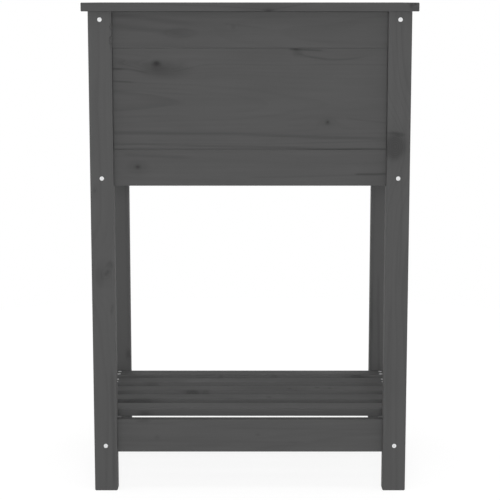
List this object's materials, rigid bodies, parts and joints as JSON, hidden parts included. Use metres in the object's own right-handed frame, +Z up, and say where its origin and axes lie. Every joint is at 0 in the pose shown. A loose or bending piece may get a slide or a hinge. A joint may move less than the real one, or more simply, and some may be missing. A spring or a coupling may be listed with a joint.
{
  "type": "wooden planter with shelf",
  "caption": "Floor planter of grey-stained solid wood: a planting box with an overhanging rim raised on square legs, over an open bay with a slatted shelf near the floor.",
  "frame": {"origin": "on the floor, under the middle of the planter", "axes": "+Z up, +X to the right seen from the front, and the front faces -Y"},
  "size_m": [0.54, 0.345, 0.81],
  "materials": {
    "stained_pine": "matt grey stain over planed pine, grain and knots showing",
    "screw_zinc": "bright zinc plate",
    "dowel_beech": "bare, turned"
  },
  "bodies": {
    "root": {"back_bottom_rail": "stained_pine", "back_panel_board": "stained_pine", "back_top_rail": "stained_pine", "cleat_screws": "screw_zinc", "floor_board_1": "stained_pine", "floor_board_2": "stained_pine", "floor_board_3": "stained_pine", "floor_board_4": "stained_pine", "floor_board_5": "stained_pine", "floor_cleat_left": "stained_pine", "floor_cleat_right": "stained_pine", "floor_screws": "screw_zinc", "frame_screws": "screw_zinc", "front_bottom_rail": "stained_pine", "front_panel_board": "stained_pine", "front_top_rail": "stained_pine", "left_bottom_rail": "stained_pine", "left_panel_board": "stained_pine", "left_top_rail": "stained_pine", "leg_back_left": "stained_pine", "leg_back_right": "stained_pine", "leg_front_left": "stained_pine", "leg_front_right": "stained_pine", "rail_dowels": "dowel_beech", "right_bottom_rail": "stained_pine", "right_panel_board": "stained_pine", "right_top_rail": "stained_pine", "rim_back": "stained_pine", "rim_front": "stained_pine", "rim_left": "stained_pine", "rim_right": "stained_pine", "rim_screws": "screw_zinc", "shelf_back_rail": "stained_pine", "shelf_front_rail": "stained_pine", "shelf_left_rail": "stained_pine", "shelf_right_rail": "stained_pine", "shelf_slat_1": "stained_pine", "shelf_slat_2": "stained_pine", "shelf_slat_3": "stained_pine", "shelf_slat_4": "stained_pine", "shelf_slat_5": "stained_pine", "side_dowels": "dowel_beech", "slat_screws": "screw_zinc"}
  },
  "joints": []
}
